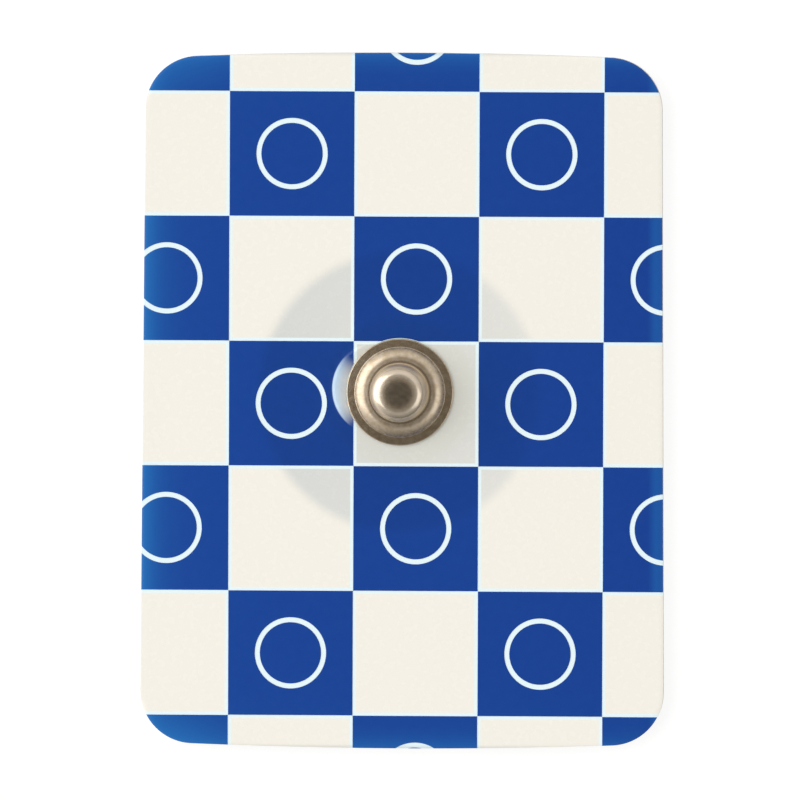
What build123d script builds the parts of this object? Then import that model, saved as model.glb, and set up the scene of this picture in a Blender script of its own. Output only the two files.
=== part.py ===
from build123d import *
import os
from math import ceil, floor

# A flat, die-cut monitoring electrode that lies on its skin face with its snap stud up.
# Sizes are in millimetres. +X runs across the pad, +Y along it and +Z away from the skin.
# The origin is under the middle of the pad's outline, on the skin face.

# Pad outline, seen from above
pad_length = 47.2
pad_top_width = 35.0
pad_foot_width = 35.55
end_bow = 0.42
corner_radius = 3.6

# Layers, from the skin up
adhesive_thickness = 0.06
foam_thickness = 1.0
film_thickness = 0.12
ink_thickness = 0.02

# Stud axis, from the middle of the pad
stud_x = -0.19
stud_y = 0.59

# Round gel well in the foam, and the gel's play in it
well_radius = 9.5
gel_play = 0.2
gel_rim_bevel = 0.15

# Chequerboard print: the lower left corner of the bare square that carries the stud
print_x = -3.33
print_y = -4.44
square_pitch = 8.47
square_spacing = 0.05
print_stud_gap = 0.05

# Snap stud: one sheet drawn to a flat brim, a low deck, a neck and a head; heights are from the film
stud_sheet = 0.25
stud_height = 3.05
head_radius = 1.965
head_shoulder_radius = 0.85
head_side = 0.5
head_foot_radius = 0.3
neck_radius = 1.62
neck_corner_radius = 0.25
deck_height = 0.62
deck_rise = 0.1
deck_radius = 2.74
deck_edge_radius = 1.0
brim_flat_radius = 3.06
brim_radius = 3.62
shortest_edge = 0.005

# Sensor eyelet: a flange in the gel and a barbed post that snaps into the head
flange_radius = 5.0
flange_thickness = 0.6
flange_rim_bevel = 0.15
flange_play = 0.1
dimple_radius = 1.0
dimple_depth = 0.15
post_play = 0.05
barb_reach = 0.2
barb_lift = 0.12
barb_side = 0.12
tip_radius = 1.0
tip_headroom = 0.2

foam_base = adhesive_thickness
film_base = foam_base + foam_thickness
film_top = film_base + film_thickness
head_foot_height = stud_height - head_shoulder_radius - head_side
neck_top_height = head_foot_height - (head_radius - neck_radius)
post_radius = neck_radius - stud_sheet - post_play


def pad_outline():
    """Face of the pad: flared straight sides, bowed ends and round corners."""
    corner_y = pad_length / 2 - end_bow
    top_left = (-pad_top_width / 2, corner_y)
    top_right = (pad_top_width / 2, corner_y)
    foot_right = (pad_foot_width / 2, -corner_y)
    foot_left = (-pad_foot_width / 2, -corner_y)
    border = Curve() + [
        ThreePointArc(top_left, (0, pad_length / 2), top_right),
        Line(top_right, foot_right),
        ThreePointArc(foot_right, (0, -pad_length / 2), foot_left),
        Line(foot_left, top_left),
    ]
    face = make_face(border)
    return fillet(face.vertices(), corner_radius)


def on_stud_axis(shape):
    """The shape, moved from the origin to the stud's axis."""
    return Pos(stud_x, stud_y, 0) * shape


def pad_ring():
    """Face of the pad around the gel well."""
    return pad_outline() - on_stud_axis(Circle(well_radius))


def layer(face, base, thickness):
    """One flat layer of the laminate."""
    return Pos(0, 0, base) * extrude(face, thickness)


def turned(profile, base):
    """Solid turned about the stud's axis, from a profile of height against radius."""
    return on_stud_axis(Pos(0, 0, base) * revolve(Plane.XZ * profile, Axis.Z))


def skin_adhesive():
    """Adhesive coat on the skin side of the foam, open at the well."""
    return layer(pad_ring(), 0, adhesive_thickness)


def foam_pad():
    """Closed-cell foam backing with the round well for the gel."""
    return layer(pad_ring(), foam_base, foam_thickness)


def cover_film():
    """Label film over the foam and the well, pierced for the post."""
    post_hole = on_stud_axis(Circle(post_radius + post_play))
    return layer(pad_outline() - post_hole, film_base, film_thickness)


def squares_across(low, high):
    """Numbers of the squares that a stretch crosses, from the square that carries the stud."""
    return range(floor(low / square_pitch), ceil(high / square_pitch))


def blue_print():
    """Blue squares of the chequerboard, cut off at the pad's edge and clear of the stud's brim."""
    outline = pad_outline()
    stud_clearance = on_stud_axis(Circle(brim_radius + print_stud_gap))
    side = square_pitch - square_spacing
    half_width = max(pad_top_width, pad_foot_width) / 2
    half_length = pad_length / 2
    squares = Sketch()
    for column in squares_across(-half_width - print_x, half_width - print_x):
        for row in squares_across(-half_length - print_y, half_length - print_y):
            if (column + row) % 2 == 0:
                continue
            centre = Pos(print_x + (column + 0.5) * square_pitch, print_y + (row + 0.5) * square_pitch)
            squares += centre * Rectangle(side, side)
    return layer((squares & outline) - stud_clearance, film_top, ink_thickness)


def gel_disc():
    """Hydrogel that fills the well around and under the eyelet's flange."""
    radius = well_radius - gel_play
    recess_radius = flange_radius + flange_play
    floor_height = film_base - flange_thickness
    profile = make_face(
        Polyline(
            (0, 0),
            (radius - gel_rim_bevel, 0),
            (radius, gel_rim_bevel),
            (radius, film_base),
            (recess_radius, film_base),
            (recess_radius, floor_height),
            (0, floor_height),
            close=True,
        )
    )
    return turned(profile, 0)


def sensor_eyelet():
    """Moulded sensor: a flange with a gate dimple below and a barbed post above."""
    barb_height = film_thickness + head_foot_height + barb_lift
    tip_height = film_thickness + stud_height - stud_sheet - tip_headroom
    barb_radius = post_radius + barb_reach
    profile = make_face(
        Polyline(
            (0, dimple_depth - flange_thickness),
            (dimple_radius, -flange_thickness),
            (flange_radius - flange_rim_bevel, -flange_thickness),
            (flange_radius, flange_rim_bevel - flange_thickness),
            (flange_radius, -flange_rim_bevel),
            (flange_radius - flange_rim_bevel, 0),
            (post_radius, 0),
            (post_radius, barb_height),
            (barb_radius, barb_height),
            (barb_radius, barb_height + barb_side),
            (tip_radius, tip_height),
            (0, tip_height),
            close=True,
        )
    )
    return turned(profile, film_base)


def snap_stud():
    """Drawn stud of even sheet, open below, which stands on the film on its flat brim."""
    skin = FilletPolyline(
        (0, stud_height),
        (head_radius, stud_height),
        (head_radius, head_foot_height),
        (neck_radius, neck_top_height),
        (neck_radius, deck_height + deck_rise),
        (deck_radius, deck_height),
        (brim_flat_radius, stud_sheet),
        (brim_radius, stud_sheet),
        radius=(
            head_shoulder_radius,
            head_foot_radius,
            neck_corner_radius,
            neck_corner_radius,
            deck_edge_radius,
            0,
        ),
    )
    sheet = offset(
        skin,
        amount=stud_sheet,
        kind=Kind.INTERSECTION,
        side=Side.RIGHT,
        min_edge_length=shortest_edge,
    )
    return turned(make_face(sheet), film_top)


nodes = {
    "skin_adhesive": skin_adhesive,
    "foam_pad": foam_pad,
    "gel_disc": gel_disc,
    "sensor_eyelet": sensor_eyelet,
    "cover_film": cover_film,
    "blue_print": blue_print,
    "snap_stud": snap_stud,
}

os.makedirs("parts", exist_ok=True)
for name, make in nodes.items():
    export_step(make(), f"parts/{name}.step")
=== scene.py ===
from math import atan2, ceil, cos, pi, radians, sin, sqrt, tan

import bpy
import numpy as np
from mathutils import Matrix, Vector, noise
from mathutils.geometry import delaunay_2d_cdt
from mathutils.kdtree import KDTree


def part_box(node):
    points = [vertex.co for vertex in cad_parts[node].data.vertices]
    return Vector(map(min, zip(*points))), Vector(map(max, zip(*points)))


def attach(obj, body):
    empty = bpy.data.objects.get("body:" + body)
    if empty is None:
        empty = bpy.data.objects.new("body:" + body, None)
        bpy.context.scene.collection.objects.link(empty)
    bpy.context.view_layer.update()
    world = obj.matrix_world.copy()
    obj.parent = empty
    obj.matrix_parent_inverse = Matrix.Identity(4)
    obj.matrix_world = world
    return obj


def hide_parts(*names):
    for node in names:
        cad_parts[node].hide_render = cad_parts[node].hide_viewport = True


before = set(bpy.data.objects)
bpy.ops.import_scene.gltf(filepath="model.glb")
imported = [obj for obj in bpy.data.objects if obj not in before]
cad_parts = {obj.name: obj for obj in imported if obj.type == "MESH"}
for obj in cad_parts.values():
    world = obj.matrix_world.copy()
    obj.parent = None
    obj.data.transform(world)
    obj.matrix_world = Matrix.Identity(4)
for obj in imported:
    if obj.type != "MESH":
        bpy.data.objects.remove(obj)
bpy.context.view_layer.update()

# Sizes are in millimetres, in the part's frame: X across the pad, Y along it, Z away from the skin.
MM = 0.001


def cad_box(node):
    """Lowest and highest corner of a node of the part."""
    low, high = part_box(node)
    return low / MM, high / MM


film_low, film_high = cad_box("cover_film")
foam_low, foam_high = cad_box("foam_pad")
stud_low, stud_high = cad_box("snap_stud")
film_base = film_low.z
film_top = film_high.z
stud_axis = np.array((stud_low + stud_high).xy) / 2

# Pad outline, seen from above
pad_length = film_high.y - film_low.y
pad_top_width = 35.0
pad_foot_width = 35.55
end_bow = 0.42
corner_radius = 3.6

# Chequerboard: the lower left corner of the bare square that carries the stud
print_corner = np.array((-3.33, -4.44))
square_pitch = 8.47
square_side = 8.45
ink_thickness = 0.02
keyline = 0.22
keyline_blur = (0.05, 0.03)

# A plain ring left open in the ink of every blue square
ring_radius = 2.25
ring_line = 0.34

# Snap stud, with heights from the film
brim_radius = (stud_high.x - stud_low.x) / 2
stud_height = stud_high.z - film_top
stud_sheet = 0.25
crown_width = 1.16
crown_slope = 0.158
head_radius = 1.965
head_shoulder_radius = 0.85
head_side = 0.5
head_foot_radius = 0.3
neck_radius = 1.62
neck_corner_radius = 0.25
deck_height = 0.62
deck_rise = 0.1
deck_radius = 2.74
deck_edge_radius = 1.0
deck_foot_radius = 0.05
brim_flat_radius = 3.06
brim_fall = 0.04
brim_edge_radius = 0.07
print_stud_gap = 0.05
post_hole_radius = 1.37

# Inside of the stud's sheet: how far its corners lie inside and above those outside
inner_foot_inset = 0.2
inner_deck_inset = 0.28
inner_neck_lift = 0.1
inner_corner_radius = 0.1

# Gel well and the eyelet's flange below the film, and how far in and out their edges blur through it
well_radius = 9.5
well_blur = (0.55, 0.5)
flange_radius = 5.0
flange_blur = (0.3, 0.5)

# Cut edge: painted shade greys the label near it at the ends and on the left, and the foam draws in and
# shows open cells
cut_edge_shade = (0.05, 0.3)
cut_waist = 0.05
cell_size = 0.2
cell_depth = 0.035
cell_opening = 0.6

# How the label lies on the foam
roll_width = 0.25
roll_drop = 0.03
gel_dip = 0.03
dip_fall = 0.7
dip_rise = (0.6, 0.5)
wave_height = 0.012
wave_length = 9.0
wave_start = 2.5

# Where the label has lifted beside the stud: a circle whose right part the brim holds down
lift_centre = stud_axis + (-1.43, 0.22)
lift_radius = 3.19
lift_blur = (0.07, 0.02)
lift_height = 0.07
lift_rise = 0.22
lift_fall = 0.55

# Fineness of the meshes
border_step = 0.12
roll_insets = (0, 0.04, 0.1, 0.18, 0.28, 0.4, 0.55, 0.8)
sheet_step = 0.45
square_step = 0.35
circle_step = 0.15
post_hole_step = 0.2
brim_margins = (0, 0.15, 0.35)
lift_step = 0.12
lift_insets = (0, 0.07, 0.15, 0.24)
foam_insets = (0, 0.12, 0.3, 0.6)
well_step = 0.25
cut_step = 0.07
cut_rows = 14
crown_points = 13
arc_step = radians(4)
stud_segments = 256


class Value:
    """A socket of a shader's node tree. Arithmetic on it adds Math nodes to the tree."""

    def __init__(self, tree, socket=None):
        self.tree = tree
        self.socket = socket

    def node(self, kind, settings=None, inputs=None, output=0):
        """An output of a new node. Its settings are made first, then its inputs are set or linked."""
        made = self.tree.nodes.new(kind)
        for name, setting in (settings or {}).items():
            if name == "stops":
                fill_ramp(made.color_ramp, setting)
            else:
                setattr(made, name, setting)
        for key, given in (inputs or {}).items():
            if isinstance(given, Value):
                self.tree.links.new(given.socket, made.inputs[key])
            else:
                made.inputs[key].default_value = given
        return Value(self.tree, made.outputs[output] if made.outputs else None)

    def math(self, operation, *terms):
        return self.node("ShaderNodeMath", {"operation": operation}, dict(enumerate(terms)))

    def __add__(self, other):
        return self.math("ADD", self, other)

    def __radd__(self, other):
        return self.math("ADD", other, self)

    def __sub__(self, other):
        return self.math("SUBTRACT", self, other)

    def __rsub__(self, other):
        return self.math("SUBTRACT", other, self)

    def __mul__(self, other):
        return self.math("MULTIPLY", self, other)

    def __rmul__(self, other):
        return self.math("MULTIPLY", other, self)

    def __truediv__(self, other):
        return self.math("DIVIDE", self, other)

    def __rtruediv__(self, other):
        return self.math("DIVIDE", other, self)

    def __pow__(self, other):
        return self.math("POWER", self, other)

    def __abs__(self):
        return self.math("ABSOLUTE", self)

    def __mod__(self, other):
        return self.math("FLOORED_MODULO", self, other)

    def floor(self):
        return self.math("FLOOR", self)

    def sine(self):
        return self.math("SINE", self)

    def least(self, other):
        return self.math("MINIMUM", self, other)

    def most(self, other):
        return self.math("MAXIMUM", self, other)

    def rises(self, low, high):
        """0 up to low, 1 from high on, and smooth between."""
        limits = {"Value": self, "From Min": low, "From Max": high}
        return self.node("ShaderNodeMapRange", {"interpolation_type": "SMOOTHSTEP"}, limits)

    def falls(self, low, high):
        """1 up to low, 0 from high on, and smooth between."""
        return 1.0 - self.rises(low, high)


def fill_ramp(ramp, stops):
    """Gives a colour ramp its stops, each a place and a grey level."""
    while len(ramp.elements) < len(stops):
        ramp.elements.new(1.0)
    for element, (place, level) in zip(ramp.elements, stops):
        element.position = place
        element.color = (level, level, level, 1.0)


def new_finish(name):
    """An empty material and the value that its shader is built from."""
    material = bpy.data.materials.new(name)
    material.use_nodes = True
    material.node_tree.nodes.clear()
    return material, Value(material.node_tree)


def close_finish(shade, **sockets):
    """Ends a material in one surface shader. Names of sockets have _ for a space."""
    inputs = {name.replace("_", " "): given for name, given in sockets.items()}
    shader = shade.node("ShaderNodeBsdfPrincipled", {}, inputs)
    shade.node("ShaderNodeOutputMaterial", {}, {"Surface": shader})


def place(shade):
    """Where a point lies in the part's frame, in millimetres."""
    metres = shade.node("ShaderNodeTexCoord", output="Object")
    return shade.node("ShaderNodeVectorMath", {"operation": "SCALE"}, {0: metres, "Scale": 1 / MM})


def parts_of(vector):
    """The X, Y and Z of a vector."""
    return [vector.node("ShaderNodeSeparateXYZ", {}, {0: vector}, axis) for axis in range(3)]


def reach_from(vector, centre):
    """Distance from a vertical line through a point of the pad."""
    x, y, _ = parts_of(vector)
    return ((x - centre[0]) ** 2 + (y - centre[1]) ** 2) ** 0.5


def from_sides(vector):
    """Distances from the pad's left side, its right side and its nearer end."""
    x, y, _ = parts_of(vector)
    side_flare = (pad_foot_width - pad_top_width) / (2 * pad_length)
    half_width = (pad_top_width + pad_foot_width) / 4 - side_flare * y
    return half_width + x, half_width - x, pad_length / 2 - abs(y)


def blurred(distance, limit, blur):
    """0 below a limit and 1 past it, with an edge that blurs by two widths, below and past it."""
    return distance.rises(limit - blur[0], limit + blur[1])


def fades(distance, strength, half_way):
    """A full strength at no distance, half of it at the half-way distance, and less beyond."""
    return strength / (1.0 + (distance / half_way) ** 2)


def between(low, high, share):
    """The value that lies a share of the way from low to high."""
    return low + (high - low) * share


def grain(vector, size, detail=2.0, roughness=0.5):
    """Smooth noise about 0.5 with lumps of one size."""
    inputs = {"Vector": vector, "Scale": 1 / size, "Detail": detail, "Roughness": roughness}
    return vector.node("ShaderNodeTexNoise", {}, inputs)


def cells(vector, size):
    """Distance from the middle of the nearest of some random cells of one size."""
    return vector.node("ShaderNodeTexVoronoi", {}, {"Vector": vector, "Scale": 1 / size})


def blend(mask, first, second, kind="MIX"):
    """A first colour, with a second laid over it as far as the mask says."""
    settings = {"data_type": "RGBA", "blend_type": kind}
    return mask.node("ShaderNodeMix", settings, {0: mask, 6: first, 7: second}, 2)


def relief_bump(height, depth, strength=1.0, below=None):
    """A normal from a height of 0 to 1 that stands for a depth in millimetres."""
    inputs = {"Strength": strength, "Distance": depth * MM, "Height": height}
    if below is not None:
        inputs["Normal"] = below
    return height.node("ShaderNodeBump", {}, inputs)


# Colours, as linear light
film_white = (0.80, 0.94, 0.98, 1.0)
film_cream = (0.902, 0.874, 0.800, 1.0)
# Painted shade along the label's cut edge
cut_edge_shade_tint = (0.84, 0.85, 0.87, 1.0)
well_tint = (0.755, 0.797, 0.85, 1.0)
well_tint_in_ink = (0.93, 0.88, 0.87, 1.0)
flange_tint = (0.98, 0.98, 0.95, 1.0)
ink_blue = (0.0095, 0.0585, 0.312, 1.0)
ink_blue_heavy = (0.0075, 0.0505, 0.284, 1.0)
# Blue lightened by painted sheen near the pad's edge
ink_blue_sheened = (0.019, 0.162, 0.485, 1.0)
# Silvering of the lifted label, with a painted highlight on it
ink_silver_highlight = (0.53, 0.70, 0.86, 1.0)
ink_silver_highlight_near = (0.60, 0.63, 0.64, 1.0)
foam_white = (0.90, 0.89, 0.86, 1.0)
# Painted shade in the foam's pits
foam_pit_shade = (0.66, 0.65, 0.61, 1.0)
nickel_warm = (0.63, 0.54, 0.43, 1.0)
nickel_tanned = (0.68, 0.55, 0.38, 1.0)
# Dull nickel for the deck, and painted shade in the fold; painted shadow in the gap round the head
nickel_dull_and_shade = (0.46, 0.36, 0.24, 1.0)
nickel_gap_shadow = (0.17, 0.12, 0.07, 1.0)
gel_clear = (0.60, 0.70, 0.68, 1.0)
gel_cloudy = (0.74, 0.80, 0.76, 1.0)
gel_bubble = (0.88, 0.92, 0.90, 1.0)
silver_dark = (0.36, 0.36, 0.35, 1.0)
silver_light = (0.56, 0.56, 0.54, 1.0)
silver_rubbed = (0.66, 0.66, 0.64, 1.0)
adhesive_clear = (0.86, 0.84, 0.77, 1.0)
# Painted shade in the pits of the foam's cells under the adhesive
adhesive_cell_shade = (0.78, 0.76, 0.68, 1.0)
floor_grey = (0.27, 0.27, 0.27, 1.0)
pure_white = (1.0, 1.0, 1.0, 1.0)
daylight = (1.0, 0.99, 0.97, 1.0)
warm_ceiling = (1.0, 0.85, 0.66, 1.0)


def over_well(vector, colour, tint):
    """A printed colour, greyed where the gel and the eyelet show through it, more on the left."""
    reach = reach_from(vector, stud_axis)
    x, _, _ = parts_of(vector)
    over_gel = (1.0 - blurred(reach, well_radius, well_blur)) * (0.82 - 0.022 * x)
    over_flange = 1.0 - blurred(reach, flange_radius, flange_blur)
    return blend(over_flange, blend(over_gel, colour, tint, "MULTIPLY"), flange_tint, "MULTIPLY")


def film_finish():
    """Satin white film, printed cream in the bare squares up to a fine white gap, with painted shade near
    its cut edge at the ends and on the left.
    """
    material, shade = new_finish("satin_label_film")
    where = place(shade)
    x, y, _ = parts_of(where)
    column = (x - print_corner[0]) / square_pitch
    row = (y - print_corner[1]) / square_pitch
    inside_column = abs((column + 0.5) % 1.0 - 0.5)
    inside_row = abs((row + 0.5) % 1.0 - 0.5)
    from_line = inside_column.least(inside_row) * square_pitch
    bare = 1.0 - (column.floor() + row.floor()) % 2.0
    creamed = bare * blurred(from_line, keyline, keyline_blur)
    printed = creamed * between(0.992, 1.008, grain(where, size=0.9, detail=4.0))
    colour = blend(printed, film_white, over_well(where, film_cream, well_tint))
    # Painted shade: the film is greyed near its cut edge at the ends, and half as much along the left side.
    from_left, _, from_ends = from_sides(where)
    end_edge_shade = from_ends.falls(*cut_edge_shade)
    left_edge_shade = 0.5 * from_left.falls(*cut_edge_shade)
    close_finish(
        shade,
        Base_Color=blend(end_edge_shade.most(left_edge_shade), colour, cut_edge_shade_tint, "MULTIPLY"),
        Roughness=between(0.24, 0.30, grain(where, size=0.5, detail=3.0)),
        Specular_IOR_Level=0.35,
        Normal=relief_bump(grain(where, size=0.35), depth=0.0015),
    )
    return material


def ink_finish():
    """Deep blue ink under a satin coat, lightened by painted sheen towards the pad's edge and to the left,
    and pale beside the stud where the label lifted: silvering with a painted highlight.
    """
    material, shade = new_finish("satin_blue_ink")
    where = place(shade)
    x, y, _ = parts_of(where)
    from_left, from_right, from_ends = from_sides(where)
    # Painted sheen: the blue is lightened towards the pad's sides, its ends and its left corners, and is a
    # little lighter to the left and darker to the right.
    left_rim = fades(from_left, strength=0.85, half_way=0.85)
    right_rim = 0.36 * from_right.falls(0.45, 1.1)
    end_rim = fades(from_ends, strength=0.48, half_way=0.65)
    left_corners = from_left.falls(0.0, 9.0) * from_ends.falls(0.0, 4.0) * (0.55 - 0.005 * y)
    edge_sheen = (left_rim + right_rim + end_rim + left_corners).least(1.0)
    mottle = grain(where, size=0.55, detail=4.0, roughness=0.6)
    even = blend(edge_sheen, blend(mottle - 0.025 * x, ink_blue_heavy, ink_blue), ink_blue_sheened)
    from_stud = reach_from(where, stud_axis)
    # Silvering of the lifted label with a painted highlight on it: pale blue-white, greyer near the brim,
    # only on the stud's left and fading towards the crescent's tips.
    silver = blend((from_stud - brim_radius).rises(0.1, 0.9), ink_silver_highlight_near, ink_silver_highlight)
    lifted = 1.0 - blurred(reach_from(where, lift_centre), lift_radius, lift_blur)
    towards_left = ((stud_axis[0] - x) / from_stud).rises(0.80, 0.985)
    strength = towards_left * between(0.80, 1.15, grain(where, size=0.8, detail=3.0))
    close_finish(
        shade,
        Base_Color=blend(lifted * strength, over_well(where, even, well_tint_in_ink), silver),
        Roughness=between(0.22, 0.27, mottle),
        Specular_IOR_Level=0.28,
        Normal=relief_bump(grain(where, size=0.3), depth=0.0015),
    )
    return material


def foam_finish():
    """White closed-cell foam, with open cells where the die has cut it, and painted shade in the cells'
    pits.
    """
    material, shade = new_finish("closed_cell_foam")
    where = place(shade)
    cell = cells(where, size=0.14)
    # Painted shade: the foam is darkened in the pits of its cells.
    pit_shade = cell.falls(0.15, 0.6)
    clouds = grain(where, size=1.6, detail=3.0)
    coarse = relief_bump(cell, depth=0.03, strength=0.6)
    close_finish(
        shade,
        Base_Color=blend(pit_shade * between(0.25, 0.75, clouds), foam_white, foam_pit_shade),
        Roughness=0.85,
        Normal=relief_bump(grain(where, size=0.05), depth=0.006, strength=0.5, below=coarse),
    )
    return material


def nickel_finish():
    """Warm tumbled nickel plate with fine dents, tan on the head's side, dull on the deck, with painted
    shade in the fold round the head and a painted shadow line in the gap there.
    """
    material, shade = new_finish("tumbled_nickel")
    where = place(shade)
    reach = reach_from(where, stud_axis)
    fold_radius = head_radius + 0.1
    from_fold = abs(reach - fold_radius)
    # Painted shade: the fold just outside the head's edge is darkened, and a narrow painted shadow line
    # lies in the gap between the head and the deck.
    fold_shade = from_fold.falls(0.05, 0.18)
    gap_shadow = from_fold.falls(0.03, 0.14)
    side = reach.rises(head_radius - 0.35, head_radius - 0.12) * reach.falls(head_radius, fold_radius)
    deck = reach.rises(fold_radius, fold_radius + 0.2)
    inside_brim = reach.falls(deck_radius + 0.1, brim_flat_radius)
    spots = grain(where, size=0.25, detail=5.0, roughness=0.6)
    blotches = grain(where, size=0.32, detail=3.0, roughness=0.55).rises(0.38, 0.64)
    dulled_and_shaded = (deck * 0.3).most(fold_shade * 0.4) + blotches * (0.12 + 0.4 * deck)
    tanned = blend(side, blend(dulled_and_shaded, nickel_warm, nickel_dull_and_shade), nickel_tanned)
    dents = relief_bump(grain(where, size=0.4, detail=3.0), depth=0.007, strength=0.8)
    close_finish(
        shade,
        Base_Color=blend(gap_shadow * between(0.1, 0.6, spots), tanned, nickel_gap_shadow),
        Metallic=1.0,
        Roughness=0.15 + 0.12 * spots + 0.24 * side + 0.1 * deck * inside_brim,
        Normal=relief_bump(grain(where, size=0.06, detail=4.0), depth=0.0014, strength=0.9, below=dents),
    )
    return material


def gel_finish():
    """Wet translucent hydrogel with small bubbles."""
    material, shade = new_finish("wet_hydrogel")
    where = place(shade)
    bubbles = cells(where, size=0.9).falls(0.05, 0.13)
    cloud = grain(where, size=2.5, detail=3.0)
    close_finish(
        shade,
        Base_Color=blend(bubbles, blend(cloud, gel_clear, gel_cloudy), gel_bubble),
        Roughness=between(0.06, 0.12, cloud),
        Alpha=0.62,
        IOR=1.37,
        Normal=relief_bump(cloud * 0.7 + bubbles * 0.3, depth=0.02),
    )
    return material


def sensor_finish():
    """Dull grey silver coating on moulded plastic, rubbed bright at the rim."""
    material, shade = new_finish("silver_coated_sensor")
    where = place(shade)
    spots = grain(where, size=0.5, detail=5.0, roughness=0.65)
    rim = reach_from(where, stud_axis).rises(flange_radius - 0.25, flange_radius)
    close_finish(
        shade,
        Base_Color=blend(rim, blend(spots, silver_dark, silver_light), silver_rubbed),
        Metallic=between(0.35, 0.65, spots),
        Roughness=between(0.42, 0.62, spots),
        Normal=relief_bump(grain(where, size=0.08, detail=3.0), depth=0.004, strength=0.7),
    )
    return material


def adhesive_finish():
    """Tacky clear adhesive over the foam's cells, with painted shade in the cells' pits and the ripple that
    the coater leaves.
    """
    material, shade = new_finish("tacky_adhesive")
    where = place(shade)
    _, y, _ = parts_of(where)
    ripple = (y * 9.0 + 2.0 * grain(where, size=3.0)).sine() * 0.5 + 0.5
    # Painted shade: the adhesive is darkened over the pits of the foam's cells.
    cell = cells(where, size=0.16)
    close_finish(
        shade,
        Base_Color=blend(cell.falls(0.1, 0.5), adhesive_clear, adhesive_cell_shade),
        Roughness=between(0.16, 0.26, ripple),
        Coat_Weight=0.3,
        Normal=relief_bump(cell * 0.5 + ripple * 0.5, depth=0.008, strength=0.6),
    )
    return material


def along_arc(centre, radius, start, end, spacing):
    """Points and outward normals along an arc, up to but without its last point."""
    count = max(1, ceil(abs(end - start) * radius / spacing))
    angles = np.linspace(start, end, count, endpoint=False)
    normals = np.column_stack((np.cos(angles), np.sin(angles)))
    return np.asarray(centre) + radius * normals, normals


def along_line(start, end, normal, spacing):
    """Points and outward normals along a straight side, up to but without its last point."""
    count = max(1, ceil(np.hypot(*(end - start)) / spacing))
    shares = np.linspace(0, 1, count, endpoint=False)[:, None]
    return start + shares * (end - start), np.tile(normal, (count, 1))


def pad_border(spacing):
    """Points round the pad's cut edge and the outward normals there, anticlockwise from the foot."""
    corner_y = pad_length / 2 - end_bow
    foot = np.array((pad_foot_width / 2, -corner_y))
    top = np.array((pad_top_width / 2, corner_y))
    run = (top - foot) / np.hypot(*(top - foot))
    out = np.array((run[1], -run[0]))
    corners = []
    for half_width, end in ((foot[0], -1), (top[0], 1)):
        end_radius = (half_width**2 + end_bow**2) / (2 * end_bow)
        end_centre = np.array((0, end * (pad_length / 2 - end_radius)))
        offset = foot - corner_radius * out - end_centre
        half = offset @ run
        root = sqrt(half**2 - offset @ offset + (end_radius - corner_radius) ** 2)
        centre = end_centre + offset + (end * root - half) * run
        towards = centre - end_centre
        corners.append((centre, end_centre, end_radius, atan2(towards[1], towards[0])))
    foot_corner, top_corner = corners
    side_angle = atan2(out[1], out[0])
    stretches = [
        along_arc(foot_corner[1], foot_corner[2], -pi / 2, foot_corner[3], spacing),
        along_arc(foot_corner[0], corner_radius, foot_corner[3], side_angle, spacing),
        along_line(
            foot_corner[0] + corner_radius * out,
            top_corner[0] + corner_radius * out,
            out,
            spacing,
        ),
        along_arc(top_corner[0], corner_radius, side_angle, top_corner[3], spacing),
        along_arc(top_corner[1], top_corner[2], top_corner[3], pi / 2, spacing),
    ]
    points = np.concatenate([stretch[0] for stretch in stretches])
    normals = np.concatenate([stretch[1] for stretch in stretches])
    mirror = np.array((-1, 1))
    head = np.array((0, pad_length / 2))
    left_points = np.concatenate(([head], points[:0:-1] * mirror))
    left_normals = np.concatenate(([(0, 1)], normals[:0:-1] * mirror))
    return np.concatenate((points, left_points)), np.concatenate((normals, left_normals))


border_points, border_normals = pad_border(border_step)
border_tree = KDTree(len(border_points))
for number, point in enumerate(border_points):
    border_tree.insert((*point, 0), number)
border_tree.balance()


def border_depth(points):
    """How far each point lies inside the cut edge, and 0 or less outside it."""
    depths = []
    for point in points:
        _, number, distance = border_tree.find((*point, 0))
        inward = (border_points[number] - point) @ border_normals[number]
        depths.append(distance if inward > 0 else min(inward, 0))
    return np.array(depths)


def distances(points, centre):
    """How far each point lies from another, seen from above."""
    return np.hypot(*(points - centre).T)


def rise(values, low, high):
    """0 up to low, 1 from high on, and smooth between."""
    share = np.clip((values - low) / (high - low), 0, 1)
    return share * share * (3 - 2 * share)


def relief(points):
    """Height of the label above its flat level, at points of the pad."""
    roll = np.clip(1 - border_depth(points) / roll_width, 0, 1)
    reach = distances(points, stud_axis)
    past_flange = rise(reach, flange_radius, flange_radius + dip_fall)
    past_well = rise(reach, well_radius - dip_rise[0], well_radius + dip_rise[1])
    inside_lift = lift_radius - distances(points, lift_centre)
    past_brim = reach - brim_radius
    lift = rise(inside_lift, 0, lift_rise) * rise(past_brim, 0, lift_fall)
    waves = np.array([noise.noise(Vector((*point, 0)) / wave_length) for point in points])
    loose = rise(past_brim, 0, wave_start)
    return (
        lift_height * lift
        + wave_height * waves * loose
        - gel_dip * (past_flange - past_well)
        - roll_drop * roll**2
    )


def circle(centre, radius, spacing):
    """Points round a circle."""
    return along_arc(centre, radius, 0, 2 * pi, spacing)[0]


def rectangle(centre, side, spacing):
    """Points round an upright square."""
    count = ceil(side / spacing)
    steps = np.linspace(-side / 2, side / 2, count, endpoint=False)
    edge = np.full(count, side / 2)
    sides = [(steps, -edge), (edge, steps), (-steps, edge), (-edge, -steps)]
    return np.asarray(centre) + np.concatenate([np.column_stack(pair) for pair in sides])


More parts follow.
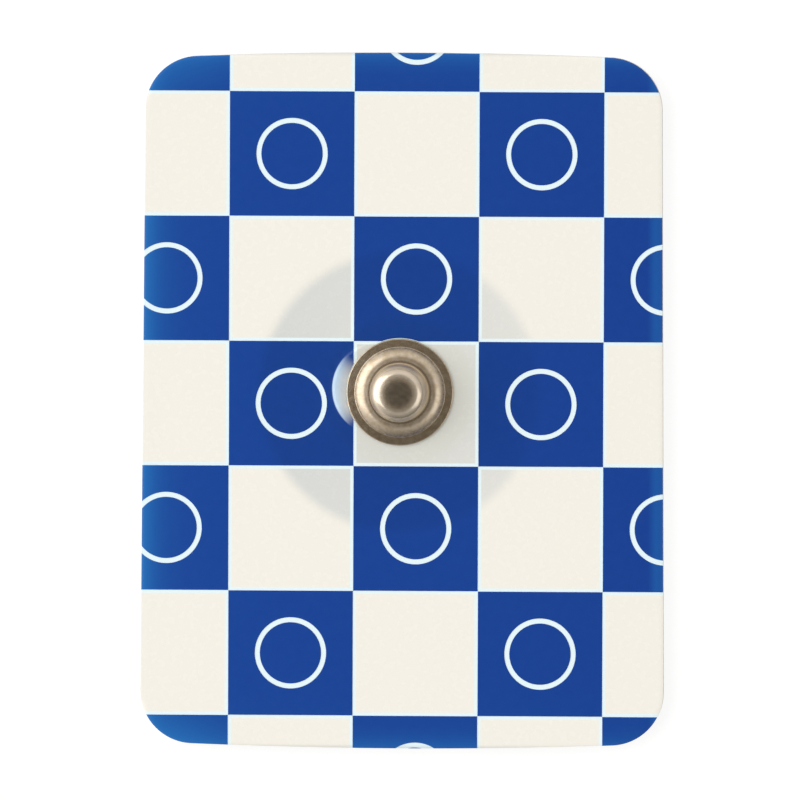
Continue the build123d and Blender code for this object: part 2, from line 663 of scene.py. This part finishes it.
def triangulate(loops, points):
    """Points and anticlockwise triangles of a flat sheet in which every loop is kept as edges."""
    merge_distance = 1e-5
    least_turn = 1e-9
    corners = [Vector(point) for loop in loops for point in loop]
    corners += [Vector(point) for point in points]
    edges = []
    start = 0
    for loop in loops:
        count = len(loop)
        edges += [(start + i, start + (i + 1) % count) for i in range(count)]
        start += count
    made, _, faces, *_ = delaunay_2d_cdt(corners, edges, [], 0, merge_distance)
    made = np.array(made)
    faces = np.array(faces)
    first, second, third = (made[faces[:, i]] for i in range(3))
    turn = np.cross(second - first, third - first)
    faces[turn < 0] = faces[turn < 0][:, ::-1]
    return made, faces[np.abs(turn) > least_turn]


def slab(points, faces, low, high):
    """Closed solid over some triangles of a sheet, between two heights at every point."""
    used, small = np.unique(faces, return_inverse=True)
    small = small.reshape(faces.shape)
    count = len(used)
    bottom = np.column_stack((points[used], low[used]))
    top = np.column_stack((points[used], high[used]))
    edges = np.concatenate([small[:, [0, 1]], small[:, [1, 2]], small[:, [2, 0]]])
    known = set(map(tuple, edges))
    rim = [(a, b) for a, b in map(tuple, edges) if (b, a) not in known]
    walls = [(a, b, b + count, a + count) for a, b in rim]
    solid = [*map(tuple, small[:, ::-1]), *map(tuple, small + count), *walls]
    return np.concatenate((bottom, top)), solid


def add_piece(name, points, faces, material, slot, sharp_angle=35):
    """A piece of the part from points in millimetres, which rides on its body."""
    mesh = bpy.data.meshes.new(name)
    mesh.from_pydata((np.asarray(points) * MM).tolist(), [], [tuple(map(int, face)) for face in faces])
    mesh.validate()
    mesh.shade_smooth()
    mesh.set_sharp_from_angle(angle=radians(sharp_angle))
    mesh.materials.append(material)
    made = bpy.data.objects.new(name, mesh)
    bpy.context.scene.collection.objects.link(made)
    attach(made, "root")
    return made


def blue_squares():
    """Centres of the blue squares that reach onto the pad."""
    reach = ceil(pad_length / 2 / square_pitch) + 1
    numbers = range(-reach, reach + 1)
    centres = [
        print_corner + ((column + 0.5) * square_pitch, (row + 0.5) * square_pitch)
        for column in numbers
        for row in numbers
        if (column + row) % 2 == 1
    ]
    half_pad = np.array((pad_foot_width, pad_length)) / 2
    return [centre for centre in centres if np.all(np.abs(centre) < half_pad + square_side / 2)]


def ringed_squares():
    """Centres of the blue squares with a ring: those whose middle is on the pad or just off it."""
    return [centre for centre in blue_squares() if border_depth([centre])[0] > -ring_radius]


def label_sheet():
    """The label laid flat: points, triangles with an edge along every printed line, and their middles."""
    loops = [border_points - inset * border_normals for inset in roll_insets]
    loops += [rectangle(centre, square_side, square_step) for centre in blue_squares()]
    for centre in ringed_squares():
        for radius in (ring_radius - ring_line / 2, ring_radius + ring_line / 2):
            loops.append(circle(centre, radius, circle_step))
    clearance = brim_radius + print_stud_gap
    loops.append(circle(stud_axis, post_hole_radius, post_hole_step))
    loops += [circle(stud_axis, clearance + margin, circle_step) for margin in brim_margins]
    loops += [circle(lift_centre, lift_radius - inset, lift_step) for inset in lift_insets]
    columns = np.arange(-pad_foot_width / 2, pad_foot_width / 2, sheet_step)
    rows = np.arange(-pad_length / 2, pad_length / 2, sheet_step)
    grid = np.stack(np.meshgrid(columns, rows), -1).reshape(-1, 2)
    grid = grid[border_depth(grid) > roll_insets[-1] + sheet_step / 2]
    points, faces = triangulate(loops, grid)
    middles = points[faces].mean(1)
    on_film = (border_depth(middles) > 0) & (distances(middles, stud_axis) > post_hole_radius)
    return points, faces[on_film], middles[on_film]


def is_inked(middles):
    """Which of some points lie on blue ink: in a blue square, off its ring and clear of the stud."""
    cell = np.floor((middles - print_corner) / square_pitch)
    from_centre = middles - print_corner - (cell + 0.5) * square_pitch
    inked = np.all(np.abs(from_centre) < square_side / 2, axis=1) & (cell.sum(1) % 2 == 1)
    for centre in ringed_squares():
        inked &= np.abs(distances(middles, centre) - ring_radius) > ring_line / 2
    return inked & (distances(middles, stud_axis) > brim_radius + print_stud_gap)


def add_label():
    """The label film and the blue print that lies on it."""
    points, faces, middles = label_sheet()
    height = relief(points)
    film = slab(points, faces, film_base + height, film_top + height)
    film = add_piece("label_film", *film, film_finish(), "film")
    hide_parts("cover_film")
    ink = slab(points, faces[is_inked(middles)], film_top + height, film_top + height + ink_thickness)
    ink = add_piece("blue_squares", *ink, ink_finish(), "ink")
    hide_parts("blue_print")


def cut_pits(points):
    """How deep the cells that the die has cut open go into the foam's wall."""
    nearest = [noise.voronoi(Vector(point) / cell_size)[0][0] for point in points]
    return cell_depth * np.clip(1 - (np.array(nearest) / cell_opening) ** 2, 0, 1)


def add_foam():
    """The foam pad, whose cut edge is drawn in half way up and open in small cells."""
    border, outward = pad_border(cut_step)
    around = len(border)
    loops = [border - inset * outward for inset in foam_insets]
    flat, faces = triangulate([*loops, circle(stud_axis, well_radius, well_step)], [])
    faces = faces[distances(flat[faces].mean(1), stud_axis) > well_radius]
    low = np.full(len(flat), foam_low.z)
    high = foam_high.z + relief(flat)
    solid, solid_faces = slab(flat, faces, low, high)
    # The slab's plain outer wall makes way for the rows of the cut edge.
    solid_faces = [face for face in solid_faces if len(face) == 3 or max(face[:2]) >= around]
    points = [solid]
    rows = [range(around)]
    for level in range(1, cut_rows):
        share = level / cut_rows
        heights = low[:around] + share * (high - low)[:around]
        inset = cut_waist * sin(pi * share) + cut_pits(np.column_stack((border, heights)))
        points.append(np.column_stack((border - inset[:, None] * outward, heights)))
        first = len(solid) + (level - 1) * around
        rows.append(range(first, first + around))
    rows.append(range(len(flat), len(flat) + around))
    for lower, upper in zip(rows, rows[1:]):
        for i in range(around):
            j = (i + 1) % around
            solid_faces.append((lower[i], lower[j], upper[j], upper[i]))
    foam = add_piece("foam_backing", np.concatenate(points), solid_faces, foam_finish(), "foam")
    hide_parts("foam_pad")


def rounded_profile(corners, radii):
    """Points along a run of straight lines whose inner corners are rounded by some radii."""
    corners = [np.asarray(corner, float) for corner in corners]
    points = [corners[0]]
    for before, corner, after, radius in zip(corners, corners[1:], corners[2:], radii):
        back = (before - corner) / np.hypot(*(before - corner))
        ahead = (after - corner) / np.hypot(*(after - corner))
        turn = pi - np.arccos(np.clip(back @ ahead, -1, 1))
        bisector = (back + ahead) / np.hypot(*(back + ahead))
        centre = corner + bisector * radius / cos(turn / 2)
        start = corner + back * radius * tan(turn / 2) - centre
        end = corner + ahead * radius * tan(turn / 2) - centre
        count = max(2, ceil(turn / arc_step))
        sweep = atan2(start[0] * end[1] - start[1] * end[0], start @ end)
        for share in np.linspace(0, 1, count + 1):
            angle = sweep * share
            spoke = np.array((
                start[0] * cos(angle) - start[1] * sin(angle),
                start[0] * sin(angle) + start[1] * cos(angle),
            ))
            points.append(centre + spoke)
    points.append(corners[-1])
    return np.array(points)


def turned(profile, segments):
    """Points and faces of a profile of radius and height, turned about the stud's axis."""
    angles = np.linspace(0, 2 * pi, segments, endpoint=False)
    points = []
    rings = []
    for radius, height in profile:
        around = angles if radius > 0 else [0.0]
        rings.append([len(points) + i for i in range(len(around))])
        spokes = [stud_axis + (radius * cos(angle), radius * sin(angle)) for angle in around]
        points += [(*spoke, height) for spoke in spokes]
    faces = []
    for upper, lower in zip(rings, rings[1:]):
        for i in range(segments):
            j = (i + 1) % segments
            face = [ring[k % len(ring)] for ring, k in ((upper, i), (lower, i), (lower, j), (upper, j))]
            faces.append(list(dict.fromkeys(face)))
    return points, [face for face in faces if len(face) > 2]


def add_stud():
    """The drawn snap stud: head, neck, deck and brim in one sheet, open below."""
    head_foot = stud_height - head_shoulder_radius - head_side
    neck_top = head_foot - (head_radius - neck_radius)
    crown = [
        (crown_width * share, stud_height - crown_slope * crown_width * share**4 / 4)
        for share in np.linspace(0, 1, crown_points)
    ]
    corners = [
        crown[-1],
        (head_radius, crown[-1][1] - crown_slope * (head_radius - crown_width)),
        (head_radius, head_foot),
        (neck_radius, neck_top),
        (neck_radius, deck_height + deck_rise),
        (deck_radius, deck_height),
        (brim_flat_radius, stud_sheet),
        (brim_radius, stud_sheet - brim_fall),
        (brim_radius, 0),
    ]
    radii = (
        head_shoulder_radius,
        head_foot_radius,
        neck_corner_radius,
        neck_corner_radius,
        deck_edge_radius,
        deck_foot_radius,
        brim_edge_radius,
    )
    outer = rounded_profile(corners, radii)
    inner_corners = [
        (brim_flat_radius - inner_foot_inset, 0),
        (deck_radius - inner_deck_inset, deck_height - stud_sheet),
        (neck_radius - stud_sheet, deck_height + deck_rise - stud_sheet),
        (neck_radius - stud_sheet, neck_top + inner_neck_lift),
        (head_radius - stud_sheet, head_foot + inner_neck_lift),
        (head_radius - stud_sheet, stud_height - stud_sheet),
        (0, stud_height - stud_sheet),
    ]
    inner_radii = (*[inner_corner_radius] * 4, head_shoulder_radius - stud_sheet)
    inner = rounded_profile(inner_corners, inner_radii)
    profile = np.concatenate((crown[:-1], outer, inner)) + (0, film_top)
    sheet = turned(profile, stud_segments)
    stud = add_piece("nickel_snap_stud", *sheet, nickel_finish(), "stud", sharp_angle=60)
    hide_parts("snap_stud")


def refinish(node, material):
    """Gives a node of the part its finish."""
    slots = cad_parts[node].data.materials
    slots.clear()
    slots.append(material)


# Camera: the photograph's frame is 800 pixels across and looks almost straight down
photo_side = 800
pixel_size = 0.0678
pad_middle_pixel = (402.7, 400.8)
lens_length = 1000
sensor_width = 36
lean_right = radians(2.4)
lean_up = radians(2.1)
turn_left = radians(0.2)


def add_camera():
    """A long lens above the pad, leaning a little to the right and to the top."""
    data = bpy.data.cameras.new("camera")
    data.lens = lens_length
    data.sensor_width = sensor_width
    back = Vector((tan(lean_right), tan(lean_up), 1)).normalized()
    up = Vector((-sin(turn_left), cos(turn_left), 0))
    across = up.cross(back).normalized()
    up = back.cross(across)
    middle = Vector((0, 0, film_top))
    offset_right = (photo_side / 2 - pad_middle_pixel[0]) * pixel_size
    offset_up = (pad_middle_pixel[1] - photo_side / 2) * pixel_size
    aim = middle + offset_right * across + offset_up * up
    distance = photo_side * pixel_size * lens_length / sensor_width
    camera = bpy.data.objects.new("camera", data)
    turned_to = Matrix((across, up, back)).transposed().to_4x4()
    camera.matrix_world = Matrix.Translation((aim + distance * back) * MM) @ turned_to
    data.clip_start = distance * MM / 100
    data.clip_end = distance * MM * 10
    bpy.context.scene.collection.objects.link(camera)
    bpy.context.scene.camera = camera


# Floor and room. A stop is a height, 0 level with the part and 1 at the ceiling, and its grey level.
floor_half = 3000
floor_own_light = 0.79
room_stops = [
    (0.0, 0.2),
    (0.35, 0.6),
    (0.8, 0.86),
    (0.91, 0.64),
    (0.955, 0.38),
    (0.982, 0.18),
    (0.993, 0.05),
    (1.0, 0.04),
]
window_light = 1.4
light_towards_top = 0.5


def add_floor():
    """A wide white floor that shows white behind the part and still takes its shadow."""
    mesh = bpy.data.meshes.new("floor")
    half = floor_half * MM
    corners = [(-half, -half, 0), (half, -half, 0), (half, half, 0), (-half, half, 0)]
    mesh.from_pydata(corners, [], [(0, 1, 2, 3)])
    material, shade = new_finish("white_floor")
    seen = shade.node("ShaderNodeLightPath", output="Is Camera Ray")
    mirrored = shade.node("ShaderNodeLightPath", output="Is Glossy Ray")
    passed = shade.node("ShaderNodeLightPath", output="Is Transmission Ray")
    close_finish(
        shade,
        Base_Color=floor_grey,
        Roughness=0.9,
        Specular_IOR_Level=0.0,
        Emission_Color=pure_white,
        Emission_Strength=(seen + mirrored + passed).least(1.0) * floor_own_light,
    )
    mesh.materials.append(material)
    floor = bpy.data.objects.new("floor", mesh)
    bpy.context.scene.collection.objects.link(floor)


def add_softbox(name, direction, distance, side, radiance):
    """A square soft lamp that faces the part, with its distance and its side in metres."""
    data = bpy.data.lights.new(name, "AREA")
    data.shape = "SQUARE"
    data.size = side
    data.energy = radiance * pi * side**2
    lamp = bpy.data.objects.new(name, data)
    away = Vector(direction).normalized()
    lamp.location = away * distance
    lamp.rotation_mode = "QUATERNION"
    lamp.rotation_quaternion = away.to_track_quat("Z", "Y")
    bpy.context.scene.collection.objects.link(lamp)


def add_room():
    """Soft light from all round and a window on the left, darker above, where camera and ceiling are."""
    world = bpy.data.worlds.new("room")
    world.use_nodes = True
    world.node_tree.nodes.clear()
    shade = Value(world.node_tree)
    x, y, z = parts_of(shade.node("ShaderNodeTexCoord", output="Generated"))
    ceiling = Vector((-tan(lean_right), -tan(lean_up), 1)).normalized()
    height = ceiling.x * x + ceiling.y * y + ceiling.z * z
    level = shade.node("ShaderNodeValToRGB", {"stops": room_stops}, {0: height})
    window = (-1.0 * x).most(0.0) ** 2 * (1.0 - height)
    lit = level * (1.0 + light_towards_top * y) + window_light * window
    colour = blend(height.rises(0.93, 0.985), daylight, warm_ceiling)
    background = shade.node("ShaderNodeBackground", {}, {"Color": colour, "Strength": lit})
    shade.node("ShaderNodeOutputWorld", {}, {"Surface": background})
    bpy.context.scene.world = world


add_foam()
add_label()
add_stud()
refinish("gel_disc", gel_finish())
refinish("sensor_eyelet", sensor_finish())
refinish("skin_adhesive", adhesive_finish())
add_camera()
add_floor()
add_softbox("key_softbox", direction=(-0.75, 0.12, 0.65), distance=0.9, side=1.0, radiance=1.42)
add_softbox("fill_softbox", direction=(0.64, -0.22, 0.76), distance=0.9, side=0.56, radiance=0.72)
add_room()
bpy.context.scene.view_settings.view_transform = "Standard"
